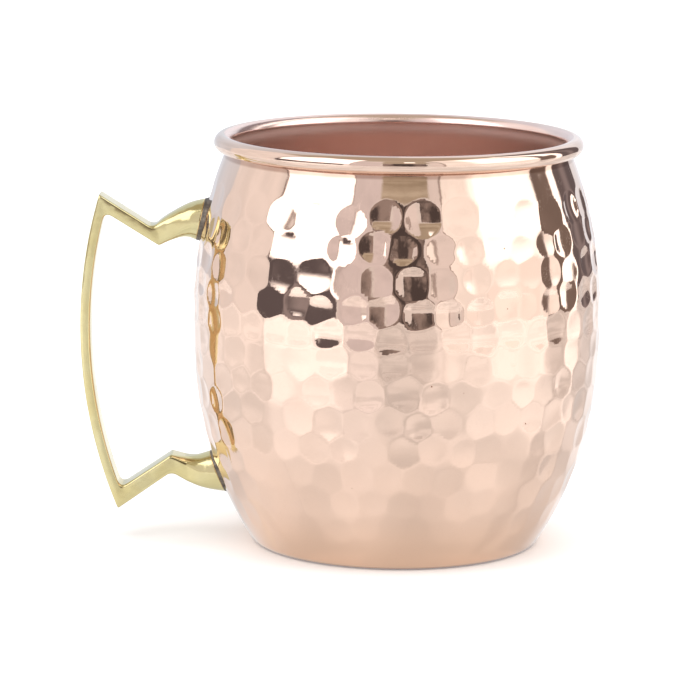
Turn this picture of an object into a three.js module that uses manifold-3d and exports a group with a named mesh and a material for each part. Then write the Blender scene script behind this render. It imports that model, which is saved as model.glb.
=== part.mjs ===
// Copper mug: a spun, barrel-shaped copper cup with a rolled rim and a cast brass handle whose
// two feet are soldered to the wall. Millimetres, +Z up. The origin is the centre of the flat
// base, and the handle points along -X.

import * as THREE from 'three';
import { mergeVertices } from 'three/addons/utils/BufferGeometryUtils.js';
import Module from 'manifold-3d';

// ---- Driving dimensions of the cup, on the outside of the sheet ----
const SHEET = 0.8;                 // thickness of the copper sheet
const CUP_HEIGHT = 98.2;           // from the table to the top of the rolled rim
const BASE_RADIUS = 33.9;          // the barrel curve, run down to the table
const BASE_CORNER = 2.5;           // radius of the bend from floor to wall
const BELLY_RADIUS = 48.6;         // widest place of the barrel
const BELLY_HEIGHT = 57;
const LOWER_FULLNESS = 2.6;        // exponent of the barrel curve below the belly
const NECK_RADIUS = 41.4;          // where the wall turns into the rim
const NECK_HEIGHT = 93.4;
const RIM_RADIUS = 41.85;          // centre of the rolled bead, from the axis
const BEAD_RADIUS = 2.05;          // outside of the rolled bead
const CURL_END = -90;              // degrees: the sheet edge stops at the foot of the bead

// ---- Driving dimensions of the handle, in the XZ plane ----
const BAR_WIDTH = 7.6;             // across the handle, along Y
const BAR_BEVEL = 0.45;            // softened edge of the casting
const GRIP = { x: 38.3, z: 51.4, outer: 114.1, inner: 111.5 };   // centre and radii of its arcs
const TOP_TIP = onGrip(GRIP.outer, 83.4);
const BOTTOM_TIP = onGrip(GRIP.outer, 7.0);
const INNER_TOP = onGrip(GRIP.inner, 79.1);       // corners of the finger gap, before rounding
const INNER_BOTTOM = onGrip(GRIP.inner, 12.1);
const INNER_ROUND = 1.9;           // how far the rounding of those corners reaches
const UPPER_BEND = { top: [-58.5, 75.65], bottom: [-56.8, 71.2] };
const LOWER_BEND = { top: [-53.8, 20.4], bottom: [-53.9, 16.0] };
const BAR_TAIL = 1.9;              // half the height of the bar where it ends inside a foot

// Each foot grows from the bar to a round end on the wall. start and seat are points of its
// centre line, and the profile gives [distance along it, radius].
const UPPER_FOOT = {
  start: [-58.2, 73.2],
  seat: [-45.6, 77.4],
  profile: [[0, 1.2], [1.2, 2.2], [4, 2.75], [7, 3.7], [9.5, 4.6], [12, 5.0], [17, 5.1]],
  filler: 0.8,
};
const LOWER_FOOT = {
  start: [-54.6, 18.1],
  seat: [-42.1, 16.0],
  profile: [[0, 1.2], [1.2, 2.2], [4, 2.7], [7, 3.5], [9.5, 4.3], [12, 4.9], [17, 5.0]],
  filler: 0.4,
};
const FOOT_PULL = 3.0;             // how far the bar runs on inside a foot, short of the seat
const FILLER_PROUD = 0.25;         // the solder stands out round the foot by this much
const TOUCH_GAP = 0.3;             // between two pieces that touch

// ---- Fineness of the round shapes ----
const CUP_SEGMENTS = 56;
const CUTTER_SEGMENTS = 112;
const FOOT_SEGMENTS = 28;
const WALL_STEPS = 12;
const BEAD_STEPS = 12;             // round the outside of the curl
const HOLLOW_STEPS = 9;            // round its inside
const CORNER_STEPS = 3;
const GRIP_STEPS = 20;
const FLOOR_INNER_RADIUS = 20;

const RAD = Math.PI / 180;

const wasm = await Module();
wasm.setup();

// ---- Materials ----
const copper = new THREE.MeshStandardMaterial({ color: 0xe3b49b, roughness: 0.12, metalness: 1 });
const brass = new THREE.MeshStandardMaterial({ color: 0xdccb85, roughness: 0.15, metalness: 1 });
const solder = new THREE.MeshStandardMaterial({ color: 0x5f6068, roughness: 0.45, metalness: 1 });

// Outside radius of the barrel wall at height z.
function wallRadius(z) {
  if (z < BELLY_HEIGHT) {
    const down = (BELLY_HEIGHT - z) / BELLY_HEIGHT;
    return BELLY_RADIUS - (BELLY_RADIUS - BASE_RADIUS) * down ** LOWER_FULLNESS;
  }
  const up = (z - BELLY_HEIGHT) / (NECK_HEIGHT - BELLY_HEIGHT);
  return BELLY_RADIUS - (BELLY_RADIUS - NECK_RADIUS) * up ** 2;
}

// Points of an arc in the profile plane, both ends included; angles in degrees.
function arcPoints(centreX, centreY, radius, from, to, steps) {
  const points = [];
  for (let i = 0; i <= steps; i += 1) {
    const angle = (from + ((to - from) * i) / steps) * RAD;
    points.push(new THREE.Vector2(centreX + radius * Math.cos(angle), centreY + radius * Math.sin(angle)));
  }
  return points;
}

// Direction of the barrel wall at height z, in degrees from the horizontal.
function wallSlope(z) {
  const step = 0.01;
  return Math.atan2(2 * step, wallRadius(z + step) - wallRadius(z - step)) / RAD;
}

// Outside of the sheet from the axis under the floor, up the wall to the neck.
function outerWall() {
  // The corner arc meets the wall where both have the same slope.
  const slope = wallSlope(BASE_CORNER / 2);
  const cornerTop = BASE_CORNER * (1 - Math.cos(slope * RAD));
  const cornerCentre = wallRadius(cornerTop) - BASE_CORNER * Math.sin(slope * RAD);
  const points = [new THREE.Vector2(0, 0), new THREE.Vector2(FLOOR_INNER_RADIUS, 0)];
  points.push(...arcPoints(cornerCentre, BASE_CORNER, BASE_CORNER, -90, slope - 90, CORNER_STEPS));
  for (let i = 1; i <= WALL_STEPS; i += 1) {
    const z = cornerTop + ((NECK_HEIGHT - cornerTop) * i) / WALL_STEPS;
    points.push(new THREE.Vector2(wallRadius(z), z));
  }
  return points;
}

// The same line moved sideways by a distance, to the left of its direction.
function offsetLine(points, distance) {
  return points.map((point, i) => {
    const before = points[Math.max(i - 1, 0)];
    const after = points[Math.min(i + 1, points.length - 1)];
    const along = after.clone().sub(before).normalize();
    return new THREE.Vector2(point.x - along.y * distance, point.y + along.x * distance);
  });
}

// Closed section of the cup: along the outside and round the bead to the sheet edge, then back
// inside the bead, down the inside of the wall and along the floor to the axis.
function cupSection() {
  const outside = outerWall();
  const inside = offsetLine(outside, SHEET);
  inside[0].set(0, SHEET);
  const beadHeight = CUP_HEIGHT - BEAD_RADIUS;
  const hollow = BEAD_RADIUS - SHEET;
  // The outside of the wall becomes the hollow side of the curl, and the inside its skin.
  const hollowSide = arcPoints(RIM_RADIUS, beadHeight, hollow, 180, CURL_END, HOLLOW_STEPS);
  const skinSide = arcPoints(RIM_RADIUS, beadHeight, BEAD_RADIUS, 180, CURL_END, BEAD_STEPS);
  return [...outside, ...hollowSide, ...skinSide.reverse(), ...inside.reverse()];
}

// A turned body standing on Z, from a profile in the radius and height plane.
function turned(profile, segments) {
  const geometry = new THREE.LatheGeometry(profile, segments);
  geometry.rotateX(Math.PI / 2);
  return geometry;
}

// A closed three.js geometry as a solid that can be cut and joined.
function toSolid(geometry) {
  const bare = geometry.clone();
  bare.deleteAttribute('normal');
  bare.deleteAttribute('uv');
  const merged = mergeVertices(bare, 1e-4);
  const mesh = new wasm.Mesh({
    numProp: 3,
    vertProperties: Float32Array.from(merged.attributes.position.array),
    triVerts: Uint32Array.from(merged.index.array),
  });
  return new wasm.Manifold(mesh);
}

// The solid's surface as a three.js geometry.
function toGeometry(solid) {
  const mesh = solid.getMesh();
  const geometry = new THREE.BufferGeometry();
  geometry.setAttribute('position', new THREE.BufferAttribute(mesh.vertProperties, 3));
  geometry.setIndex(new THREE.BufferAttribute(mesh.triVerts, 1));
  geometry.computeVertexNormals();
  return geometry;
}

// The space of the cup grown outwards by a clearance, used to cut what is joined to the wall.
function cupSpace(clearance) {
  const outline = offsetLine(outerWall(), -clearance);
  outline[0].set(0, -clearance);
  outline.push(new THREE.Vector2(0, NECK_HEIGHT));
  return toSolid(turned(outline, CUTTER_SEGMENTS));
}

// Point at height z on one of the two arcs of the grip, which bulges towards -X.
function onGrip(radius, z) {
  return [GRIP.x - Math.sqrt(radius ** 2 - (z - GRIP.z) ** 2), z];
}

// Draws an arc of the grip from the outline's last point to another point on the same radius.
function gripArc(outline, radius, from, to) {
  const angle = ([x, z]) => Math.atan2(z - GRIP.z, x - GRIP.x) + (z < GRIP.z ? 2 * Math.PI : 0);
  outline.absarc(GRIP.x, GRIP.z, radius, angle(from), angle(to), angle(to) < angle(from));
}

// The two corners of the bar's hidden end inside a foot, upper one first.
function barTail(foot) {
  const start = new THREE.Vector2(...foot.start);
  const along = new THREE.Vector2(...foot.seat).sub(start);
  const end = start.clone().addScaledVector(along, 1 - FOOT_PULL / along.length());
  const up = new THREE.Vector2(-along.y, along.x).setLength(BAR_TAIL);
  return [end.clone().add(up), end.clone().sub(up)];
}

// The flat bar of the handle, drawn in the XZ plane and given its width along Y.
function barGeometry() {
  const outline = new THREE.Shape();
  const upperTail = barTail(UPPER_FOOT);
  const lowerTail = barTail(LOWER_FOOT);
  const gapTop = onGrip(GRIP.inner, INNER_TOP[1] - INNER_ROUND);
  const gapBottom = onGrip(GRIP.inner, INNER_BOTTOM[1] + INNER_ROUND);
  outline.moveTo(...TOP_TIP);
  outline.lineTo(...UPPER_BEND.top);
  outline.lineTo(upperTail[0].x, upperTail[0].y);
  outline.lineTo(upperTail[1].x, upperTail[1].y);
  outline.lineTo(...UPPER_BEND.bottom);
  outline.lineTo(...towards(INNER_TOP, UPPER_BEND.bottom, INNER_ROUND));
  outline.quadraticCurveTo(...INNER_TOP, ...gapTop);
  gripArc(outline, GRIP.inner, gapTop, gapBottom);
  outline.quadraticCurveTo(...INNER_BOTTOM, ...towards(INNER_BOTTOM, LOWER_BEND.top, INNER_ROUND));
  outline.lineTo(...LOWER_BEND.top);
  outline.lineTo(lowerTail[0].x, lowerTail[0].y);
  outline.lineTo(lowerTail[1].x, lowerTail[1].y);
  outline.lineTo(...LOWER_BEND.bottom);
  outline.lineTo(...BOTTOM_TIP);
  gripArc(outline, GRIP.outer, BOTTOM_TIP, TOP_TIP);
  const geometry = new THREE.ExtrudeGeometry(outline, {
    depth: BAR_WIDTH - 2 * BAR_BEVEL,
    curveSegments: GRIP_STEPS,
    bevelEnabled: true,
    bevelThickness: BAR_BEVEL,
    bevelSize: BAR_BEVEL,
    bevelOffset: -BAR_BEVEL,
    bevelSegments: 2,
  });
  // The drawing's X and Y become X and Z, and the extrusion is centred on the XZ plane.
  geometry.rotateX(Math.PI / 2);
  geometry.translate(0, BAR_WIDTH / 2 - BAR_BEVEL, 0);
  return geometry;
}

// Point at a distance from one point in the direction of another.
function towards(from, to, distance) {
  const start = new THREE.Vector2(...from);
  const way = new THREE.Vector2(...to).sub(start).setLength(distance);
  return start.add(way).toArray();
}

// A foot: a turned body along its own centre line, made larger all round by grow.
function footGeometry(foot, grow) {
  const points = foot.profile.map(([along, radius]) => new THREE.Vector2(radius + grow, along));
  const last = foot.profile[foot.profile.length - 1][0];
  const profile = [new THREE.Vector2(0, 0), ...points, new THREE.Vector2(0, last)];
  const geometry = new THREE.LatheGeometry(profile, FOOT_SEGMENTS);
  const along = new THREE.Vector3(foot.seat[0] - foot.start[0], 0, foot.seat[1] - foot.start[1]);
  const turn = new THREE.Quaternion().setFromUnitVectors(new THREE.Vector3(0, 1, 0), along.normalize());
  geometry.applyQuaternion(turn);
  geometry.translate(foot.start[0], 0, foot.start[1]);
  return geometry;
}

// The handle: bar and feet in one casting, each foot cut back to leave room for its solder.
function handleGeometry() {
  const roomFor = (foot) => cupSpace(foot.filler + 2 * TOUCH_GAP);
  let casting = toSolid(barGeometry()).subtract(roomFor(UPPER_FOOT));
  for (const foot of [UPPER_FOOT, LOWER_FOOT]) {
    casting = casting.add(toSolid(footGeometry(foot, 0)).subtract(roomFor(foot)));
  }
  return toGeometry(casting);
}

// The solder seam of a foot: a thin curved disc that follows the wall.
function solderGeometry(foot) {
  const column = toSolid(footGeometry(foot, FILLER_PROUD));
  const seam = column.intersect(cupSpace(foot.filler + TOUCH_GAP)).subtract(cupSpace(TOUCH_GAP));
  return toGeometry(seam);
}

// A named mesh with a material of its own.
function piece(name, geometry, material) {
  const mesh = new THREE.Mesh(geometry, material.clone());
  mesh.name = name;
  return mesh;
}

const mug = new THREE.Group();
mug.add(piece('cup_shell', turned(cupSection(), CUP_SEGMENTS), copper));
mug.add(piece('handle', handleGeometry(), brass));
mug.add(piece('upper_solder_joint', solderGeometry(UPPER_FOOT), solder));
mug.add(piece('lower_solder_joint', solderGeometry(LOWER_FOOT), solder));

export default mug;
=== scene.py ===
"""Hammered copper mug with a cast brass handle.

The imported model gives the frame: a spun copper cup, a brass handle and the two solder seams that
join them. Here each of those pieces gets its finished mesh and its finish: the hammered barrel
with its rolled rim, the handle with softened edges and flared feet, and the grey seams.
Lengths are in millimetres in the classes, and in metres in Blender.
"""

import logging
import math
from dataclasses import dataclass
from enum import Enum

import bpy
import numpy as np
from mathutils import Matrix, Vector


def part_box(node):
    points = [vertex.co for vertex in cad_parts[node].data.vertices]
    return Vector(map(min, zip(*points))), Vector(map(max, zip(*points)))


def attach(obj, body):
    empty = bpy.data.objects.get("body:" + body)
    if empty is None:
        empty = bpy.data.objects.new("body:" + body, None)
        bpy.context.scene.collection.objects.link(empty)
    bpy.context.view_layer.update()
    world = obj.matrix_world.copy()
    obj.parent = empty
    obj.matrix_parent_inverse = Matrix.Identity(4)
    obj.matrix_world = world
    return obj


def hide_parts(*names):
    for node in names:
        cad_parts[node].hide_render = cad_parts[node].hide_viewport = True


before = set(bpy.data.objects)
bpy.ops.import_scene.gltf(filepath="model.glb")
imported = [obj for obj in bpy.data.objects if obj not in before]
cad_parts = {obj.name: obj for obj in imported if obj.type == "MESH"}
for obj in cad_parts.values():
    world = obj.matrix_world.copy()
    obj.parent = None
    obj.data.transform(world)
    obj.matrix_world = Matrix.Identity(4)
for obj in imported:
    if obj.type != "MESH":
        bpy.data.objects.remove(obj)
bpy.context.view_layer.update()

log = logging.getLogger("copper_mug")

MM = 0.001
ROOT = "root"
BLACK = (0.0, 0.0, 0.0)
Colour = tuple[float, float, float]
Point = tuple[float, float]
Span = tuple[float, float]


# ---------------------------------------------------------------------------------------------
# Shader tools


class Value:
    """A number, colour or vector in a shader, with operators that add the nodes they need."""

    def __init__(self, graph: "Graph", socket: bpy.types.NodeSocket) -> None:
        """Wraps one output socket of a graph.

        Args:
            graph: the graph that the socket is in.
            socket: the output socket.
        """
        self.graph = graph
        self.socket = socket

    def apply(self, operation: str, *others: "Value | float", turned: bool = False) -> "Value":
        """Adds a Math node on this value and others.

        Args:
            operation: the Math node's operation.
            others: the other inputs, as values or numbers.
            turned: puts the other input first, as in 1 - value.

        Returns:
            The node's result.
        """
        terms = [*others, self] if turned else [self, *others]
        return self.graph.add("ShaderNodeMath", {"operation": operation}, dict(enumerate(terms)))

    def __add__(self, other: "Value | float") -> "Value":
        """Sum."""
        return self.apply("ADD", other)

    def __sub__(self, other: "Value | float") -> "Value":
        """Difference."""
        return self.apply("SUBTRACT", other)

    def __rsub__(self, other: float) -> "Value":
        """Difference from a number."""
        return self.apply("SUBTRACT", other, turned=True)

    def __mul__(self, other: "Value | float") -> "Value":
        """Product."""
        return self.apply("MULTIPLY", other)

    def __pow__(self, other: "Value | float") -> "Value":
        """Power."""
        return self.apply("POWER", other)

    def __rpow__(self, other: float) -> "Value":
        """A number to the power of this."""
        return self.apply("POWER", other, turned=True)

    def __neg__(self) -> "Value":
        """Negative."""
        return self * -1.0

    __radd__ = __add__
    __rmul__ = __mul__

    def step(self, low: float, high: float) -> "Value":
        """Smooth step from 0 at low to 1 at high, where high may be the smaller one.

        Args:
            low: where the result is 0.
            high: where the result is 1.

        Returns:
            The step's value.
        """
        settings = {"interpolation_type": "SMOOTHSTEP"}
        inputs = {"Value": self, "From Min": min(low, high), "From Max": max(low, high)}
        rising = self.graph.add("ShaderNodeMapRange", settings, inputs)
        return rising if low < high else 1.0 - rising

    def between(self, low: float, high: float, soft: float) -> "Value":
        """Soft-edged band that is 1 from low to high.

        Args:
            low: where the band starts.
            high: where it ends.
            soft: half the width of its edges.

        Returns:
            The band's value.
        """
        return self.step(low - soft, low + soft) * self.step(high + soft, high - soft)

    def ridge(self, centre: float, width: float) -> "Value":
        """Smooth band that is 1 at a centre and 0 further off than a width.

        Args:
            centre: the middle of the band.
            width: half the band's width.

        Returns:
            The band's value.
        """
        return (self - centre).apply("ABSOLUTE").step(width, 0.0)


class Graph:
    """The node tree of a material or of the world."""

    def __init__(self, tree: bpy.types.NodeTree) -> None:
        """Empties a node tree and takes it over.

        Args:
            tree: the tree.
        """
        self.tree = tree
        tree.nodes.clear()

    def add(
        self,
        kind: str,
        settings: dict[str, object] | None = None,
        inputs: dict[str | int, object] | None = None,
        output: str | int = 0,
    ) -> Value:
        """Adds one node.

        Args:
            kind: the node's type.
            settings: its properties, set first.
            inputs: values, links or numbers for its sockets, by name or place.
            output: the output that is wanted.

        Returns:
            That output, or an empty value for a node with none.
        """
        node = self.tree.nodes.new(kind)
        for name, setting in (settings or {}).items():
            setattr(node, name, setting)
        for name, given in (inputs or {}).items():
            if isinstance(given, Value):
                self.tree.links.new(given.socket, node.inputs[name])
            else:
                node.inputs[name].default_value = given
        return Value(self, node.outputs[output] if len(node.outputs) else None)

    def mix(self, factor: Value | float, first: Value | Colour, second: Value | Colour) -> Value:
        """Blend of two colours.

        Args:
            factor: 0 for the first, 1 for the second.
            first: a colour or a link.
            second: a colour or a link.

        Returns:
            The blended colour.
        """
        def as_input(colour: Value | Colour) -> Value | tuple[float, ...]:
            return colour if isinstance(colour, Value) else (*colour, 1.0)

        settings = {"data_type": "RGBA", "clamp_factor": True}
        inputs = {"Factor": factor, 6: as_input(first), 7: as_input(second)}
        return self.add("ShaderNodeMix", settings, inputs, output=2)

    def place(self) -> Value:
        """Place on the piece, in metres."""
        return self.add("ShaderNodeTexCoord", output="Object")

    def parts(self, vector: Value) -> tuple[Value, Value, Value]:
        """X, Y and Z of a vector."""
        split = self.add("ShaderNodeSeparateXYZ", inputs={"Vector": vector})
        sockets = split.socket.node.outputs
        return tuple(Value(self, sockets[name]) for name in "XYZ")

    def stretched(self, vector: Value, scale: tuple[float, float, float]) -> Value:
        """A vector multiplied along each axis by its own factor."""
        settings = {"operation": "MULTIPLY"}
        return self.add("ShaderNodeVectorMath", settings, {0: vector, 1: scale})

    def noise(self, vector: Value, size: float, detail: float = 2.0, rough: float = 0.5) -> Value:
        """Cloudy noise.

        Args:
            vector: where it is read, in metres.
            size: the size of its features in millimetres.
            detail: how many finer layers it has.
            rough: how strong the finer layers are.

        Returns:
            The noise, about 0.5 on average.
        """
        inputs = {"Vector": vector, "Scale": 1.0 / (size * MM), "Detail": detail, "Roughness": rough}
        return self.add("ShaderNodeTexNoise", {}, inputs)

    def bump(self, height: Value, reach: float, below: Value | None = None) -> Value:
        """Turns a height into a bent normal.

        Args:
            height: the height, from 0 to 1.
            reach: how many millimetres a height of 1 stands for.
            below: the normal that it goes on top of.

        Returns:
            The normal.
        """
        inputs = {"Height": height, "Distance": reach * MM, "Strength": 1.0}
        if below is not None:
            inputs["Normal"] = below
        return self.add("ShaderNodeBump", {}, inputs)


def new_material(name: str) -> tuple[bpy.types.Material, Graph]:
    """A material and its emptied graph.

    Args:
        name: the material's name.

    Returns:
        The material and the graph.
    """
    material = bpy.data.materials.new(name)
    material.use_nodes = True
    return material, Graph(material.node_tree)


def in_metres(span: Span) -> Span:
    """The two ends of a span in millimetres, in metres."""
    return span[0] * MM, span[1] * MM


def flat_radius(x: Value, y: Value) -> Value:
    """Distance from the upright axis."""
    return (x * x + y * y) ** 0.5


def finish_surface(graph: Graph, inputs: dict[str, object]) -> None:
    """Ends a material's graph with a Principled shader.

    Args:
        graph: the material's graph.
        inputs: the shader's sockets.
    """
    shader = graph.add("ShaderNodeBsdfPrincipled", {}, inputs)
    graph.add("ShaderNodeOutputMaterial", {}, {"Surface": shader})


# ---------------------------------------------------------------------------------------------
# Finishes


@dataclass(frozen=True)
class Dots:
    """Small round marks that come in some places only, such as specks of tarnish.

    The edge is where a mark fades out and in, as shares of the spacing, and chosen is the part of
    a cloudy noise, of the cluster's size, in which the marks fade in.
    """

    spacing: float
    cluster: float
    edge: Span
    chosen: Span

    def draw(self, graph: Graph, place: Value) -> Value:
        """Draws the marks: 1 on them and 0 off them."""
        inputs = {"Vector": place, "Scale": 1.0 / (self.spacing * MM), "Randomness": 1.0}
        near = graph.add("ShaderNodeTexVoronoi", {"feature": "F1"}, inputs, "Distance")
        return near.step(*self.edge) * graph.noise(place, self.cluster, 0.0).step(*self.chosen)


@dataclass(frozen=True)
class PolishedCopper:
    """Bright copper on the outside: rosy, with fine hammer grain, hairlines, dark specks and a darker
    groove under the bead, and with painted light: warmer and brighter towards the base, and a painted
    contact shadow along the base's edge.
    """

    pale: Colour = (0.85, 0.64, 0.525)
    warm: Colour = (0.97, 0.675, 0.515)
    # Dark colour of the specks, hairlines and groove, also used for the painted contact shadow.
    stain_and_shadow: Colour = (0.30, 0.13, 0.075)
    # Painted light: a brighter orange for the lowest part of the wall, standing in for the table's
    # bright reflection near the base.
    glow: Colour = (1.0, 0.655, 0.465)
    cloud_size: float = 16.0
    cloud_share: float = 0.5
    # Painted warm light: heights over which the wall turns towards the warm colour, standing in for
    # the table's warm reflection near the base.
    painted_warm_light_heights: Span = (45.0, 4.0)
    painted_warm_light_share: float = 0.75
    painted_glow_height: float = 16.0
    groove: Span = (92.9, 94.0)
    groove_soft: float = 0.3
    # Darker in the groove under the bead, more so where the cloud is high.
    groove_darkening: Span = (0.3, 0.4)
    # Painted contact shadow: a dark band below this height on the outer ring of the base's edge.
    contact_shadow_height: float = 0.8
    contact_shadow_radii: Span = (31.5, 32.3)
    dots: Dots = Dots(5.5, 9.0, (0.05, 0.025), (0.56, 0.62))
    dots_share: float = 0.85
    dots_roughness: float = 0.3
    hairline_turns: tuple[Span, ...] = ((0.5, 1.0), (-0.9, 1.4))
    hairline_size: float = 0.55
    hairline_width: float = 0.004
    hairline_cluster: float = 7.0
    hairline_share: float = 0.12
    hairline_depth: float = 0.0015
    roughness: float = 0.035
    haze: float = 0.06
    haze_clouds: Span = (0.45, 0.8)
    grain_size: float = 0.34
    grain_height: float = 0.0012
    wave_size: float = 1.9
    wave_height: float = 0.006
    coat: float = 0.3
    coat_roughness: float = 0.04

    def build(self) -> bpy.types.Material:
        """Makes the material."""
        material, graph = new_material("polished_copper")
        place = graph.place()
        x, y, height = graph.parts(place)
        cloud = graph.noise(place, self.cloud_size, 3.0)
        # Painted warm light towards the base, plus random warm patches from the cloud.
        low = height.step(*in_metres(self.painted_warm_light_heights))
        warmth = low * self.painted_warm_light_share + (cloud - 0.5) * self.cloud_share
        body = graph.mix(warmth, self.pale, self.warm)
        # Painted light: towards the base the wall is blended into the glow colour.
        tint = graph.mix(height.step(self.painted_glow_height * MM, 0.0), body, self.glow)
        specks = self.dots.draw(graph, place)
        hairline = self.hairlines(graph, place)
        least, more = self.groove_darkening
        # Darker in the groove under the bead.
        in_groove = height.between(*in_metres(self.groove), self.groove_soft * MM)
        groove_darkening = in_groove * (least + cloud * more)
        # Painted contact shadow along the base's edge, where the cup meets the floor.
        contact_shadow_ring = flat_radius(x, y).step(*in_metres(self.contact_shadow_radii))
        contact_shadow = height.step(self.contact_shadow_height * MM, 0.2 * self.contact_shadow_height * MM) * contact_shadow_ring
        # Real marks together with the painted contact shadow.
        marks_and_shadow = specks * self.dots_share + hairline * self.hairline_share + groove_darkening + contact_shadow
        colour = graph.mix(marks_and_shadow, tint, self.stain_and_shadow)
        hazy = cloud.step(*self.haze_clouds) * self.haze
        roughness = self.roughness + hazy + specks * self.dots_roughness
        grain = graph.bump(graph.noise(place, self.grain_size, 2.0), self.grain_height)
        waves = graph.bump(graph.noise(place, self.wave_size, 1.0), self.wave_height, grain)
        normal = graph.bump(1.0 - hairline, self.hairline_depth, waves)
        finish_surface(graph, {
            "Base Color": colour,
            "Metallic": 1.0,
            "Roughness": roughness,
            "Normal": normal,
            "Coat Weight": self.coat,
            "Coat Roughness": self.coat_roughness,
        })
        return material

    def hairlines(self, graph: Graph, place: Value) -> Value:
        """Faint polishing scratches that cross the wall at a slant."""
        total: Value | None = None
        for turn, size in self.hairline_turns:
            inputs = {"Vector": place, "Rotation": (turn, 0.3 * turn, 1.7 * turn)}
            turned = graph.add("ShaderNodeMapping", {}, inputs)
            drawn = graph.stretched(turned, (1.0, 1.0, 0.035))
            scratch = graph.noise(drawn, self.hairline_size * size, 1.0)
            cluster = graph.noise(place, self.hairline_cluster * size, 1.0)
            kept = scratch.ridge(0.5, self.hairline_width) * cluster.step(0.55, 0.66)
            total = kept if total is None else total + kept
        return total


@dataclass(frozen=True)
class SatinCopper:
    """Copper inside the cup: satin, redder, with the rings of the spinning tool."""

    bright: Colour = (0.96, 0.76, 0.69)
    deep: Colour = (0.93, 0.70, 0.63)
    roughness: float = 0.34
    band_roughness: float = 0.5
    rim_roughness: float = 0.17
    band: Span = (92.3, 94.8)
    rim: Span = (94.8, 96.6)
    cloud_size: float = 11.0
    cloud_edges: Span = (0.3, 0.75)
    cloud_roughness: float = 0.05
    ring_size: float = 0.55
    ring_height: float = 0.0035
    ring_roughness: float = 0.08
    coat: float = 0.15
    coat_roughness: float = 0.2

    def build(self) -> bpy.types.Material:
        """Makes the material."""
        material, graph = new_material("satin_copper")
        place = graph.place()
        x, y, z = graph.parts(place)
        inputs = {"X": flat_radius(x, y), "Y": z, "Z": 0.0}
        along = graph.add("ShaderNodeCombineXYZ", {}, inputs)
        rings = graph.noise(along, self.ring_size, 3.0, 0.65)
        cloud = graph.noise(place, self.cloud_size, 3.0)
        colour = graph.mix(cloud.step(*self.cloud_edges), self.bright, self.deep)
        in_band = z.step(*in_metres(self.band))
        on_rim = z.step(*in_metres(self.rim))
        matt = self.roughness + in_band * (self.band_roughness - self.roughness)
        matt = matt + on_rim * (self.rim_roughness - self.band_roughness)
        finish_surface(graph, {
            "Base Color": colour,
            "Metallic": 1.0,
            "Roughness": matt + rings * self.ring_roughness + cloud * self.cloud_roughness,
            "Normal": graph.bump(rings, self.ring_height),
            "Coat Weight": self.coat,
            "Coat Roughness": self.coat_roughness,
        })
        return material


@dataclass(frozen=True)
class CastBrass:
    """Polished brass of the handle: pale yellow, with soft casting waves and hand polishing."""

    pale: Colour = (0.775, 0.70, 0.40)
    golden: Colour = (0.735, 0.63, 0.305)
    pit: Colour = (0.22, 0.17, 0.05)
    cloud_size: float = 9.0
    cloud_edges: Span = (0.25, 0.8)
    dots: Dots = Dots(3.2, 6.0, (0.055, 0.03), (0.55, 0.62))
    dots_share: float = 0.7
    dots_roughness: float = 0.3
    dots_depth: float = 2.0
    roughness: float = 0.11
    brush_size: float = 0.22
    brush_draw: float = 0.12
    brush_roughness: float = 0.06
    brush_height: float = 0.0008
    wave_size: float = 3.0
    wave_height: float = 0.085
    grain_size: float = 0.28
    grain_height: float = 0.0022
    coat: float = 0.2
    coat_roughness: float = 0.05

    def build(self) -> bpy.types.Material:
        """Makes the material."""
        material, graph = new_material("cast_brass")
        place = graph.place()
        cloud = graph.noise(place, self.cloud_size, 3.0)
        drawn = graph.stretched(place, (1.0, 1.0, self.brush_draw))
        brushed = graph.noise(drawn, self.brush_size, 2.0, 0.6)
        pits = self.dots.draw(graph, place)
        tint = graph.mix(cloud.step(*self.cloud_edges), self.pale, self.golden)
        waves = graph.bump(graph.noise(place, self.wave_size, 1.0), self.wave_height)
        grain = graph.bump(graph.noise(place, self.grain_size, 2.0), self.grain_height, waves)
        finish_surface(graph, {
            "Base Color": graph.mix(pits * self.dots_share, tint, self.pit),
            "Metallic": 1.0,
            "Roughness": self.roughness + brushed * self.brush_roughness + pits * self.dots_roughness,
            "Normal": graph.bump(brushed + pits * -self.dots_depth, self.brush_height, grain),
            "Coat Weight": self.coat,
            "Coat Roughness": self.coat_roughness,
        })
        return material


@dataclass(frozen=True)
class DullSolder:
    """Filler metal of the seams: slate grey, darkened by heat, uneven."""

    light: Colour = (0.26, 0.225, 0.18)
    dark: Colour = (0.12, 0.10, 0.085)
    metallic: float = 0.85
    roughness: float = 0.32
    cloud_size: float = 1.8
    cloud_edges: Span = (0.35, 0.7)
    cloud_height: float = 0.06
    crust_size: float = 0.35
    crust_height: float = 0.03
    crust_roughness: float = 0.2

    def build(self) -> bpy.types.Material:
        """Makes the material."""
        material, graph = new_material("dull_solder")
        place = graph.place()
        cloud = graph.noise(place, self.cloud_size, 4.0, 0.6)
        crust = graph.noise(place, self.crust_size, 3.0, 0.6)
        lumps = graph.bump(cloud, self.cloud_height)
        finish_surface(graph, {
            "Base Color": graph.mix(cloud.step(*self.cloud_edges), self.dark, self.light),
            "Metallic": self.metallic,
            "Roughness": self.roughness + crust * self.crust_roughness,
            "Normal": graph.bump(crust, self.crust_height, lumps),
        })
        return material


@dataclass(frozen=True)
class PaleFloor:
    """Plain floor, white and matt unless it is given a colour, a shine or a cloudy shade."""

    colour: Colour = (0.88, 0.88, 0.88)
    roughness: float = 0.9
    shine: float = 0.0
    glow: float = 0.0
    shade: float = 0.0
    shade_size: float = 55.0
    shade_edges: Span = (0.38, 0.62)

    def build(self) -> bpy.types.Material:
        """Makes the material."""
        material, graph = new_material("pale_floor")
        clouds = graph.noise(graph.place(), self.shade_size, 1.0).step(*self.shade_edges)
        finish_surface(graph, {
            "Base Color": graph.mix(clouds * self.shade, self.colour, BLACK),
            "Roughness": self.roughness,
            "Specular IOR Level": self.shine,
            "Emission Color": (1.0, 1.0, 1.0, 1.0),
            "Emission Strength": self.glow,
        })
        return material


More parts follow.
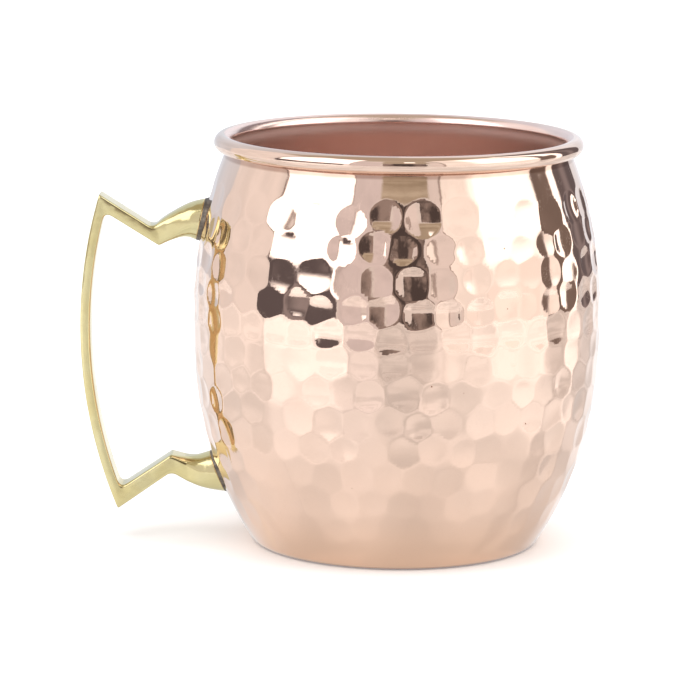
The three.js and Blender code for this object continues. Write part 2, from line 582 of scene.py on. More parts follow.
@dataclass(frozen=True)
class DarkCloth:
    """Dark brown-grey sheet, seen only in the metal, that glows with its own colour in broad lighter
    and darker streaks: painted light and shade.
    """

    dark: Colour = (0.09, 0.073, 0.072)
    light: Colour = (0.36, 0.30, 0.28)
    fold_size: float = 130.0
    fold_draw: float = 0.4
    fold_edges: Span = (0.38, 0.66)

    def build(self) -> bpy.types.Material:
        """Makes the material."""
        material, graph = new_material("dark_cloth")
        drawn = graph.stretched(graph.place(), (1.0, 1.0, self.fold_draw))
        painted_folds = graph.noise(drawn, self.fold_size, 3.0, 0.45)
        # Painted light and shade: the cloth's glow is lighter and darker in broad streaks.
        colour = graph.mix(painted_folds.step(*self.fold_edges), self.dark, self.light)
        finish_surface(graph, {
            "Base Color": (*BLACK, 1.0),
            "Roughness": 1.0,
            "Specular IOR Level": 0.0,
            "Emission Color": colour,
            "Emission Strength": 1.0,
        })
        return material


# ---------------------------------------------------------------------------------------------
# Mesh tools


def ring_of(count: int) -> np.ndarray:
    """Angles of evenly spaced points round a circle, starting at +X."""
    return np.arange(count) * (2.0 * math.pi / count)


def line(start: Point, end: Point, steps: int) -> np.ndarray:
    """Evenly spaced points from start to end, both included."""
    share = np.linspace(0.0, 1.0, steps + 1)[:, None]
    return np.array(start) * (1.0 - share) + np.array(end) * share


def bend(start: Point, corner: Point, end: Point, steps: int) -> np.ndarray:
    """Points of a curve that rounds a corner, both ends included."""
    t = np.linspace(0.0, 1.0, steps + 1)[:, None]
    first, middle, last = (np.array(point) for point in (start, corner, end))
    return first * (1.0 - t) ** 2 + middle * 2.0 * t * (1.0 - t) + last * t ** 2


def flow(points: list[Point], steps: int) -> np.ndarray:
    """A smooth curve through points, with steps between each two."""
    known = np.array(points)
    padded = np.vstack([2 * known[0] - known[1], known, 2 * known[-1] - known[-2]])
    t = np.linspace(0.0, 1.0, steps, endpoint=False)[:, None]
    pieces = []
    for before, start, end, after in zip(padded, padded[1:], padded[2:], padded[3:]):
        pieces.append(0.5 * (
            2.0 * start
            + (end - before) * t
            + (2.0 * before - 5.0 * start + 4.0 * end - after) * t ** 2
            + (3.0 * start - before - 3.0 * end + after) * t ** 3
        ))
    return np.vstack([*pieces, known[-1:]])


def towards(start: Point, end: Point, distance: float) -> Point:
    """The point at a distance from start in the direction of end."""
    way = np.array(end) - np.array(start)
    return tuple(np.array(start) + way * (distance / np.hypot(*way)))


def smooth_share(t: np.ndarray) -> np.ndarray:
    """Smooth step of numbers that are cut to 0 and 1."""
    t = np.clip(t, 0.0, 1.0)
    return t * t * (3.0 - 2.0 * t)


def tube_faces(rings: int, around: int) -> list[tuple[int, ...]]:
    """Quads between rings of points that follow each other.

    Args:
        rings: how many rings there are.
        around: how many points each ring has.

    Returns:
        The quads' corners, pointing out where the rings turn left-handed along the tube.
    """
    faces = []
    for ring in range(rings - 1):
        low, high = ring * around, (ring + 1) * around
        for i in range(around):
            j = (i + 1) % around
            faces.append((low + i, low + j, high + j, high + i))
    return faces


def make_piece(name: str, points: np.ndarray, faces: list[tuple[int, ...]]) -> bpy.types.Object:
    """A smooth-shaded mesh object from points in millimetres.

    Args:
        name: the piece's name.
        points: one row for each vertex.
        faces: the corners of each face.

    Returns:
        The object, linked to the scene.
    """
    mesh = bpy.data.meshes.new(name)
    mesh.from_pydata((points * MM).tolist(), [], faces)
    mesh.validate()
    mesh.polygons.foreach_set("use_smooth", [True] * len(mesh.polygons))
    piece = bpy.data.objects.new(name, mesh)
    bpy.context.scene.collection.objects.link(piece)
    return piece


# ---------------------------------------------------------------------------------------------
# The cup


@dataclass(frozen=True)
class Barrel:
    """The curve of the cup's wall, and the sheet that it is spun from."""

    height: float
    belly_radius: float
    sheet: float = 0.8
    base_radius: float = 33.9
    base_corner: float = 2.5
    belly_height: float = 57.0
    fullness: float = 2.6
    neck_radius: float = 41.4
    neck_height: float = 93.4
    rim_radius: float = 41.85
    bead_radius: float = 2.05

    def radius(self, z: np.ndarray | float) -> np.ndarray:
        """Outside radius of the wall at a height, before it is hammered."""
        z = np.asarray(z, float)
        down = np.clip((self.belly_height - z) / self.belly_height, 0.0, None)
        up = np.clip(z - self.belly_height, 0.0, None) / (self.neck_height - self.belly_height)
        lower = (self.belly_radius - self.base_radius) * down ** self.fullness
        upper = (self.belly_radius - self.neck_radius) * up ** 2
        return self.belly_radius - lower - upper

    def stretch(self, z: np.ndarray) -> np.ndarray:
        """Length along the wall for each millimetre of height."""
        step = 0.05
        slope = (self.radius(z + step) - self.radius(z - step)) / (2.0 * step)
        return np.sqrt(1.0 + slope ** 2)

    def normals(self, line_points: np.ndarray) -> np.ndarray:
        """Directions out of the sheet along its outside line, as (radius, height) pairs."""
        along = np.gradient(line_points, axis=0)
        along /= np.hypot(along[:, 0], along[:, 1])[:, None]
        return np.stack([along[:, 1], -along[:, 0]], axis=1)

    def corner(self, steps: int) -> np.ndarray:
        """The bend from the floor into the wall, from the floor up."""
        step = 0.01
        middle = self.base_corner / 2.0
        rise = float(self.radius(middle + step) - self.radius(middle - step))
        slope = math.atan2(2.0 * step, rise)
        top = self.base_corner * (1.0 - math.cos(slope))
        centre = float(self.radius(top)) - self.base_corner * math.sin(slope)
        angle = np.linspace(-math.pi / 2.0, slope - math.pi / 2.0, steps + 1)
        across = centre + self.base_corner * np.cos(angle)
        return np.stack([across, self.base_corner * (1.0 + np.sin(angle))], axis=1)


@dataclass(frozen=True)
class Blow:
    """One shallow round dent: where it is, and the bowl that it leaves."""

    angle: float
    height: float
    radius: float
    depth: float


@dataclass(frozen=True)
class HammerRow:
    """One ring of blows round the wall."""

    pitch: float
    radius: float
    depth: float
    lead: float


@dataclass(frozen=True)
class Hammering:
    """Rings of shallow round blows on the wall, from the shoulder down to the base.

    The blows are crisp and deep on the shoulder, and shallow and soft towards the base, and they
    swell and fade a few times round the cup. A row's lead is the angle of its first blow from the
    front, in degrees.
    """

    top_height: float = 83.7
    row_pitch: float = 6.65
    rows: tuple[HammerRow, ...] = (
        HammerRow(8.9, 4.15, 0.41, -3.3),
        HammerRow(7.3, 3.8, 0.37, 2.3),
        HammerRow(7.7, 3.9, 0.31, 3.2),
        HammerRow(7.2, 3.8, 0.29, -3.5),
        HammerRow(7.2, 3.9, 0.23, -1.2),
        HammerRow(7.1, 3.95, 0.15, -1.6),
        HammerRow(7.3, 4.0, 0.23, 2.4),
        HammerRow(7.2, 4.0, 0.27, -2.0),
        HammerRow(7.0, 4.0, 0.27, 1.9),
        HammerRow(7.0, 4.0, 0.25, -1.5),
        HammerRow(6.8, 3.9, 0.20, 2.2),
        HammerRow(6.6, 3.8, 0.14, -1.0),
    )
    slip: float = 1.1
    rise: float = 1.0
    spread: float = 0.12
    unevenness: float = 0.46
    swells: int = 5
    swell: float = 0.3
    ridge_softness: float = 0.016
    crease_reach: float = 1.1
    window_share: float = 1.5
    window_spare: float = 1.0
    seed: int = 19

    def blows(self, barrel: Barrel) -> list[Blow]:
        """Places every blow on the wall.

        Args:
            barrel: the wall that is hammered.

        Returns:
            The blows, with angles in radians from +X.
        """
        random = np.random.default_rng(self.seed)
        blows = []
        for number, row in enumerate(self.rows):
            height = self.top_height - number * self.row_pitch
            radius = float(barrel.radius(height))
            count = round(2.0 * math.pi * radius / row.pitch)
            for place in range(count):
                slip, rise, grow, deepen = random.uniform(-1.0, 1.0, 4)
                from_front = math.radians(row.lead) + 2.0 * math.pi * place / count
                turn = from_front - math.pi / 2.0
                swell = 1.0 + self.swell * math.cos(self.swells * from_front)
                blows.append(Blow(
                    turn + self.slip * slip / radius,
                    height + self.rise * rise,
                    row.radius * (1.0 + self.spread * grow),
                    row.depth * swell * (1.0 + self.unevenness * deepen),
                ))
        return blows

    def press(self, barrel: Barrel, heights: np.ndarray, angles: np.ndarray) -> "Dents":
        """Presses all blows into a grid of places on the wall.

        Args:
            barrel: the wall that is hammered.
            heights: the heights of the places, in rows of nearly the same height.
            angles: their angles from +X, in radians.

        Returns:
            What the blows do at each place.
        """
        radii = barrel.radius(heights)
        stretch = barrel.stretch(heights)
        shape = heights.shape
        first = np.zeros(shape)
        second = np.full(shape, -1.0)
        lean = np.zeros((2, 2, *shape))
        total = np.ones(shape)
        row_low, row_high = heights.min(axis=1), heights.max(axis=1)
        for blow in self.blows(barrel):
            reach = blow.radius * self.window_share
            near = (row_high > blow.height - reach) & (row_low < blow.height + reach)
            rows = np.nonzero(near)[0][:, None]
            turn = (angles[rows[0, 0]] - blow.angle + math.pi) % (2.0 * math.pi) - math.pi
            widest = (reach + self.window_spare) / radii[rows[0, 0], 0]
            window = np.nonzero(np.abs(turn) < widest)[0][None, :]
            place = (rows, window)
            turn = (angles[place] - blow.angle + math.pi) % (2.0 * math.pi) - math.pi
            across = turn * radii[place]
            along = (heights[place] - blow.height) * stretch[place]
            bowl = blow.depth * (1.0 - (across ** 2 + along ** 2) / blow.radius ** 2)
            steep = -2.0 * blow.depth / blow.radius ** 2
            total[place] += np.exp(bowl / self.ridge_softness)
            wins = bowl > first[place]
            runs_up = ~wins & (bowl > second[place])
            slopes = (steep * across, steep * along)
            second[place] = np.where(wins, first[place], np.where(runs_up, bowl, second[place]))
            first[place] = np.where(wins, bowl, first[place])
            for axis, slope in enumerate(slopes):
                best, next_best = lean[0, axis][place], lean[1, axis][place]
                lean[1, axis][place] = np.where(wins, best, np.where(runs_up, slope, next_best))
                lean[0, axis][place] = np.where(wins, slope, best)
        second = np.maximum(second, np.where(first > 0.0, 0.0, second))
        lean[1] = np.where(second == 0.0, 0.0, lean[1])
        return Dents(self.ridge_softness * np.log(total), first - second, lean[0] - lean[1])


@dataclass(frozen=True)
class Dents:
    """The blows' effect on a grid of places: depth, lead of the deepest bowl, and its slope."""

    depth: np.ndarray
    lead: np.ndarray
    slope: np.ndarray

    def towards_crease(self, reach: float) -> tuple[np.ndarray, np.ndarray]:
        """How far to move each place, so that the grid is finer along the creases.

        Args:
            reach: how far from a crease places are moved.

        Returns:
            The moves across and along the wall.
        """
        steep = np.maximum(np.hypot(*self.slope), 1e-6)
        away = self.lead / steep
        left = np.where(away < reach, away ** 2 / reach, away)
        move = -(away - left) / steep
        return self.slope[0] * move, self.slope[1] * move


@dataclass
class HammeredCup:
    """The copper cup in one sheet: floor, hammered wall and the rim rolled into a bead."""

    barrel: Barrel
    hammering: Hammering
    around: int = 420
    row_height: float = 0.6
    inside_step: int = 6
    inside_share: float = 0.22
    rest_row: float = 3.4
    rest_fade: float = 2.0
    floor_radii: tuple[float, ...] = (6.0, 14.0, 22.0, 28.0)
    corner_steps: int = 5
    plain_above: float = 1.4
    plain_rings: int = 4
    fixed_below: int = 2
    fixed_above: int = 6
    bead_steps: int = 24
    curl_steps: int = 6
    satin_bead_rings: int = 8

    def wall_heights(self) -> np.ndarray:
        """Heights of the rings of the wall, close together where it is hammered."""
        start = float(self.barrel.corner(self.corner_steps)[-1, 1])
        top = self.hammering.top_height + self.hammering.rows[0].radius + self.plain_above
        hammered = np.linspace(start, top, round((top - start) / self.row_height) + 1)
        plain = np.linspace(top, self.barrel.neck_height, self.plain_rings + 1)[1:]
        return np.concatenate([hammered, plain])

    def bead(self, radius: float, steps: int) -> np.ndarray:
        """Points round the rolled rim, from the inside over the top to the sheet's edge."""
        height = self.barrel.height - self.barrel.bead_radius
        angle = np.linspace(math.pi, -math.pi / 2.0, steps + 1)
        across = self.barrel.rim_radius + radius * np.cos(angle)
        return np.stack([across, height + radius * np.sin(angle)], axis=1)

    def even(self, outline: np.ndarray) -> np.ndarray:
        """Rings of a plain turned surface: angle, radius and height of each point."""
        radius, height = (np.repeat(column[:, None], self.around, axis=1) for column in outline.T)
        angle = np.repeat(ring_of(self.around)[None, :], len(outline), axis=0)
        return np.stack([angle, radius, height], axis=2)

    def hammered_wall(self) -> np.ndarray:
        """Rings of the wall's outside, with the grid drawn together along the creases."""
        barrel, hammering = self.barrel, self.hammering
        flat = self.even(np.stack([self.wall_heights()] * 2, axis=1))
        angles, heights = flat[:, :, 0], flat[:, :, 2]
        across, along = hammering.press(barrel, heights, angles).towards_crease(
            hammering.crease_reach
        )
        low, high = heights[self.fixed_below, 0], heights[-self.fixed_above, 0]
        fixed = (heights < low) | (heights > high)
        angles = angles + np.where(fixed, 0.0, across / barrel.radius(heights))
        heights = heights + np.where(fixed, 0.0, along / barrel.stretch(heights))
        depth = hammering.press(barrel, heights, angles).depth
        depth *= smooth_share((heights - self.rest_row) / self.rest_fade)
        stretch = barrel.stretch(heights)
        lean = np.sqrt(np.maximum(stretch ** 2 - 1.0, 0.0)) / stretch
        lean = np.where(heights > barrel.belly_height, lean, -lean)
        radius = barrel.radius(heights) - depth / stretch
        return np.stack([angles, radius, heights - depth * lean], axis=2)

    def rings(self) -> tuple[np.ndarray, int]:
        """Every ring of the cup, from under the floor round the sheet to the floor inside.

        Returns:
            Angle, radius and height of each point, and the number of the first inside ring.
        """
        barrel = self.barrel
        under = np.array([[radius, 0.0] for radius in self.floor_radii])
        bottom = np.vstack([under, barrel.corner(self.corner_steps)[:-1]])
        wall = self.hammered_wall()
        heights = self.wall_heights()
        rows = np.append(np.arange(0, len(heights) - 1, self.inside_step), len(heights) - 1)
        outline = np.vstack([bottom, np.stack([barrel.radius(heights), heights], axis=1)])
        inner_outline = outline - barrel.normals(outline) * barrel.sheet
        inside_wall = self.even(inner_outline[len(bottom):][rows])
        inside_wall[:, :, 1] -= self.hammering.press(
            barrel, np.repeat(heights[rows][:, None], self.around, axis=1), inside_wall[:, :, 0]
        ).depth * self.inside_share
        outer_skin = self.even(self.bead(barrel.bead_radius, self.bead_steps))
        pieces = [
            self.even(bottom),
            wall,
            self.even(self.bead(barrel.bead_radius - barrel.sheet, self.curl_steps)),
            outer_skin[::-1],
            inside_wall[::-1],
            self.even(inner_outline[:len(bottom)])[::-1],
        ]
        inside_count = len(rows) + len(bottom) + self.satin_bead_rings
        stacked = np.concatenate(pieces)
        return stacked, len(stacked) - inside_count

    def build(self, outer: bpy.types.Material, inner: bpy.types.Material) -> bpy.types.Object:
        """Makes the cup.

        Args:
            outer: the finish outside and on the rim.
            inner: the finish inside.

        Returns:
            The piece.
        """
        rings, first_inside = self.rings()
        angle, radius, height = rings[:, :, 0], rings[:, :, 1], rings[:, :, 2]
        points = np.stack([radius * np.cos(angle), radius * np.sin(angle), height], axis=2)
        points = points.reshape(-1, 3)
        faces = tube_faces(len(rings), self.around)
        last_ring = (len(rings) - 1) * self.around
        bottom, top = len(points), len(points) + 1
        points = np.vstack([points, [0.0, 0.0, 0.0], [0.0, 0.0, self.barrel.sheet]])
        for i in range(self.around):
            j = (i + 1) % self.around
            faces.append((bottom, j, i))
            faces.append((top, last_ring + i, last_ring + j))
        piece = make_piece("hammered_cup", points, faces)
        piece.data.materials.append(outer)
        piece.data.materials.append(inner)
        start = first_inside * self.around
        for polygon in piece.data.polygons:
            if polygon.vertices[0] >= start:
                polygon.material_index = 1
        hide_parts("cup_shell")
        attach(piece, ROOT)
        return piece


# ---------------------------------------------------------------------------------------------
# The handle


@dataclass(frozen=True)
class Section:
    """One cross section of the handle: its two ends in the XZ plane, its width and rounding."""

    outer: Point
    inner: Point
    half_width: float
    outer_round: float
    inner_round: float


@dataclass(frozen=True)
class Foot:
    """A foot of the handle, flared from the bar's bend to a round end on the wall.

    The outlines run from the bend to the wall: outer is the side away from the fingers. Each
    rounding goes from 0, a bar's soft edge, to 1, a full half circle.
    """

    outer: tuple[Point, ...]
    inner: tuple[Point, ...]
    half_widths: tuple[float, ...]
    outer_rounds: tuple[float, ...]
    inner_rounds: tuple[float, ...]
    gap: float

    def sections(self, steps: int) -> list[Section]:
        """Cross sections from the bend to the wall."""
        values = np.stack([self.half_widths, self.outer_rounds, self.inner_rounds], axis=1)
        place = np.linspace(0, len(values) - 1, (len(values) - 1) * steps + 1)
        eased = [np.interp(place, np.arange(len(values)), column) for column in values.T]
        outer, inner = flow(self.outer, steps), flow(self.inner, steps)
        return [
            Section(tuple(o), tuple(i), *numbers)
            for o, i, numbers in zip(outer, inner, zip(*eased))
        ]


@dataclass(frozen=True)
class Grip:
    """The bowed part that the fingers hold: two arcs about one centre, in the XZ plane."""

    x: float = 38.3
    z: float = 51.4
    outer: float = 113.95
    inner: float = 111.5

    def at(self, radius: float, z: float) -> Point:
        """The point of an arc at a height."""
        return self.x - math.sqrt(radius ** 2 - (z - self.z) ** 2), z

    def arc(self, radius: float, start: float, end: float, steps: int) -> np.ndarray:
        """Points of an arc from one height to another."""
        return np.array([self.at(radius, z) for z in np.linspace(start, end, steps + 1)])


class Way(Enum):
    """Which way the grip leads from one of its corners."""

    DOWN = -1.0
    UP = 1.0


@dataclass
class BrassHandle:
    """The cast handle: a bowed grip, two slanted arms with a sharp bend, and two round feet."""

    barrel: Barrel
    grip: Grip = Grip()
    top_tip: float = 83.4
    bottom_tip: float = 7.0
    gap_top: float = 79.1
    gap_bottom: float = 12.1
    gap_round: float = 2.1
    tip_round: float = 0.5
    upper_valley: Point = (-58.5, 75.55)
    upper_point: Point = (-56.8, 71.2)
    lower_valley: Point = (-53.9, 16.05)
    lower_point: Point = (-53.8, 20.45)
    valley_round: float = 1.5
    point_round: float = 0.45
    half_width: float = 3.8
    edge_round: float = 0.02
    edge_radius: float = 0.7
    edge_steps: int = 6
    crown: float = -0.01
    flat_shares: tuple[float, ...] = (0.06, 0.25, 0.5, 0.75, 0.94)
    arm_steps: int = 12
    corner_steps: int = 10
    grip_steps: int = 60
    elbow_steps: int = 8
    foot_steps: int = 7
    seat_rings: int = 4
    upper_foot: Foot = Foot(
        outer=((-57.4, 76.35), (-55.5, 77.9), (-51.4, 80.4), (-48.9, 81.5), (-46.2, 82.2)),
        inner=((-56.4, 71.35), (-54.1, 72.4), (-51.4, 73.2), (-49.6, 73.0), (-48.4, 72.35)),
        half_widths=(3.8, 3.95, 4.55, 5.0, 5.25),
        outer_rounds=(0.16, 0.5, 0.85, 0.92, 0.94),
        inner_rounds=(0.10, 0.16, 0.45, 0.8, 0.92),
        gap=0.8,
    )
    lower_foot: Foot = Foot(
        outer=((-52.6, 15.4), (-49.7, 13.8), (-46.6, 12.45), (-43.2, 11.5), (-40.5, 11.1)),
        inner=((-53.3, 20.3), (-50.3, 19.75), (-48.0, 19.8), (-46.2, 20.3), (-44.7, 20.85)),
        half_widths=(3.8, 3.95, 4.5, 4.95, 5.2),
        outer_rounds=(0.10, 0.16, 0.45, 0.8, 0.92),
        inner_rounds=(0.16, 0.5, 0.85, 0.92, 0.94),
        gap=0.5,
    )

    def bar_sections(self, pairs: list[tuple[np.ndarray, np.ndarray]]) -> list[Section]:
        """Cross sections of plain bar through pairs of outline points."""
        return [
            Section(tuple(o), tuple(i), self.half_width, self.edge_round, self.edge_round)
            for outer, inner in pairs
            for o, i in zip(outer, inner)
        ]

    def arm(self, valley: Point, point: Point, tip: Point, notch: Point) -> list:
        """Outline pairs of a straight arm, between its bend and the corner of the grip."""
        start = towards(valley, tip, self.valley_round)
        end = towards(tip, valley, self.tip_round)
        inner_start = towards(point, notch, self.point_round)
        inner_end = towards(notch, point, self.gap_round)
        outer = line(start, end, self.arm_steps)
        return [(outer, line(inner_start, inner_end, self.arm_steps))]

    def corner(self, valley: Point, point: Point, tip: Point, notch: Point, way: Way) -> list:
        """Outline pairs round the corner from an arm into the grip, going down or up."""
        grip, steps = self.grip, self.corner_steps
        outer_end = grip.at(grip.outer, tip[1] + way.value * self.tip_round)
        inner_end = grip.at(grip.inner, notch[1] + way.value * self.gap_round)
        outer = bend(towards(tip, valley, self.tip_round), tip, outer_end, steps)
        inner = bend(towards(notch, point, self.gap_round), notch, inner_end, steps)
        return [(outer[1:], inner[1:])]

    def sections(self) -> list[Section]:
        """Every cross section, from the end of the upper foot to the end of the lower one."""
        grip = self.grip
        top, bottom = grip.at(grip.outer, self.top_tip), grip.at(grip.outer, self.bottom_tip)
        high = grip.at(grip.inner, self.gap_top)
        low = grip.at(grip.inner, self.gap_bottom)
        upper = (self.upper_valley, self.upper_point, top, high)
        lower = (self.lower_valley, self.lower_point, bottom, low)
        outer_ends = (self.top_tip - self.tip_round, self.bottom_tip + self.tip_round)
        inner_ends = (self.gap_top - self.gap_round, self.gap_bottom + self.gap_round)
        outer = grip.arc(grip.outer, *outer_ends, self.grip_steps)
        inner = grip.arc(grip.inner, *inner_ends, self.grip_steps)
        down = self.bar_sections(self.arm(*upper) + self.corner(*upper, Way.DOWN))
        up = self.bar_sections(self.arm(*lower) + self.corner(*lower, Way.UP))
        middle = self.bar_sections([(outer[1:-1], inner[1:-1])])
        return [
            *self.foot_and_elbow(self.upper_foot, upper),
            *down,
            *middle,
            *reversed(up),
            *reversed(self.foot_and_elbow(self.lower_foot, lower)),
        ]

    def foot_and_elbow(self, foot: Foot, outline: tuple[Point, Point, Point, Point]) -> list[Section]:
        """Cross sections from a foot's end on the wall to the start of its arm."""
        valley, point, tip, notch = outline
        outer_end = towards(valley, tip, self.valley_round)
        inner_end = towards(point, notch, self.point_round)
        steps = self.elbow_steps
        outer = bend(foot.outer[0], valley, outer_end, steps)[:-1]
        inner = bend(foot.inner[0], point, inner_end, steps)[:-1]
        eased = np.linspace(0.0, 1.0, steps + 1)[:-1]
        turn = [
            Section(
                tuple(o),
                tuple(i),
                self.half_width,
                foot.outer_rounds[0] + (self.edge_round - foot.outer_rounds[0]) * share,
                foot.inner_rounds[0] + (self.edge_round - foot.inner_rounds[0]) * share,
            )
            for o, i, share in zip(outer, inner, eased)
        ]
        return [*reversed(foot.sections(self.foot_steps)), *turn[1:]]

    def crowned(self, start: Point, end: Point) -> list[Point]:
        """Points of a nearly flat face between two edges, a little proud in its middle."""
        way = np.array(end) - np.array(start)
        out = np.array((-way[1], way[0]))
        return [
            tuple(np.array(start) + way * share + out * self.crown * 4.0 * share * (1.0 - share))
            for share in self.flat_shares
        ]

    def ring(self, section: Section) -> np.ndarray:
        """Points round one cross section.

        Args:
            section: the section.

        Returns:
            The points, starting on the outer edge at the back and turning to the front.
        """
        outer, inner = np.array(section.outer), np.array(section.inner)
        half = float(np.hypot(*(outer - inner))) / 2.0
        width, least = section.half_width, self.edge_radius
        quarter = np.linspace(0.0, math.pi / 2.0, self.edge_steps + 1)
        points: list[Point] = []
        corners = (
            (1.0, 1.0, section.outer_round, False),
            (-1.0, 1.0, section.outer_round, True),
            (-1.0, -1.0, section.inner_round, False),
            (1.0, -1.0, section.inner_round, True),
        )
        for y_side, s_side, share, turned in corners:
            y_reach = least + (width - least) * share
            s_reach = least + (half - least) * share
            arc = [
                (
                    y_side * (width - y_reach + y_reach * math.cos(angle)),
                    s_side * (half - s_reach + s_reach * math.sin(angle)),
                )
                for angle in (reversed(quarter) if turned else quarter)
            ]
            if points:
                points.extend(self.crowned(points[-1], arc[0]))
            points.extend(arc)
        points.extend(self.crowned(points[-1], points[0]))
        across = (outer - inner) / (2.0 * half)
        middle = (outer + inner) / 2.0
        placed = [
            (middle[0] + across[0] * s, y, middle[1] + across[1] * s) for y, s in points
        ]
        return np.array(placed)

    def seat(self, rings: list[np.ndarray], gap: float) -> None:
        """Bends the last rings of a foot, first in the list, so that its end follows the wall."""
        end = rings[0]
        wall = self.barrel.radius(end[:, 2]) + gap
        shift = -np.sqrt(wall ** 2 - end[:, 1] ** 2) - end[:, 0]
        for number in range(self.seat_rings):
            rings[number][:, 0] += shift * (1.0 - number / self.seat_rings)

    def rings(self) -> list[np.ndarray]:
        """All rings of points, with both ends shaped to the wall."""
        rings = [self.ring(section) for section in self.sections()]
        self.seat(rings, self.upper_foot.gap)
        rings.reverse()
        self.seat(rings, self.lower_foot.gap)
        rings.reverse()
        return rings

    def build(self, brass: bpy.types.Material) -> bpy.types.Object:
        """Makes the handle."""
        rings = self.rings()
        around = len(rings[0])
        points = np.vstack(rings)
        faces = tube_faces(len(rings), around)
        for ring, turned in ((0, True), (len(rings) - 1, False)):
            corners = [ring * around + i for i in range(around)]
            faces.append(tuple(reversed(corners) if turned else corners))
        piece = make_piece("brass_handle", points, faces)
        piece.data.materials.append(brass)
        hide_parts("handle")
        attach(piece, ROOT)
        return piece


@dataclass
class SolderSeam:
    """The filler metal between a foot of the handle and the wall, a little proud of both."""

    name: str
    node: str
    barrel: Barrel
    gap: float
    profile: tuple[Span, ...] = (
        (1.06, -0.45), (1.02, 0.0), (0.9, 0.07), (0.65, 0.11), (0.4, 0.14), (0.2, 0.19), (0.0, 0.28),
    )
    sunk: float = 0.45
    sunk_proud: float = 0.5
    waves: tuple[int, ...] = (2, 3, 5, 7, 11)
    weights: Span = (0.4, 1.0)
    unevenness: float = 0.16
    seed: int = 5

    def build(self, end: np.ndarray, solder: bpy.types.Material) -> bpy.types.Object:
        """Makes the seam.

        Args:
            end: the ring of points at the end of the foot.
            solder: the finish.

        Returns:
            The piece.
        """
        outline = end[:, 1:]
        centre = outline.mean(axis=0)
        angles = np.arctan2(outline[:, 1] - centre[1], outline[:, 0] - centre[0])
        random = np.random.default_rng(self.seed)
        uneven = np.ones(len(outline))
        for waves in self.waves:
            phase, weight = random.uniform(0.0, 2.0 * math.pi), random.uniform(*self.weights)
            uneven += self.unevenness * weight * np.cos(waves * angles + phase) / 2.0
        away = outline - centre
        away /= np.hypot(away[:, 0], away[:, 1])[:, None]
        rings = []
        for share, proud in (*self.profile, (-self.sunk / self.gap, self.sunk_proud)):
            grown = proud * uneven if proud > 0 else np.full(len(outline), proud)
            placed = outline + away * grown[:, None]
            wall = self.barrel.radius(placed[:, 1]) + share * self.gap
            x = -np.sqrt(wall ** 2 - placed[:, 0] ** 2)
            rings.append(np.stack([x, placed[:, 0], placed[:, 1]], axis=1))
        around = len(outline)
        faces = tube_faces(len(rings), around)
        faces.append(tuple(reversed(range(around))))
        faces.append(tuple((len(rings) - 1) * around + i for i in range(around)))
        piece = make_piece(self.name, np.vstack(rings), faces)
        piece.data.materials.append(solder)
        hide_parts(self.node)
        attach(piece, ROOT)
        return piece


# ---------------------------------------------------------------------------------------------
# The setting


@dataclass(frozen=True)
class Panel:
    """A soft-edged patch of the surroundings.

    Azimuths are in degrees from the front, more to the right, and heights are in degrees above
    the horizon.
    """

    left: float
    right: float
    low: float
    high: float
    colour: Colour
    soft: float = 1.2
    soft_height: float = 2.0


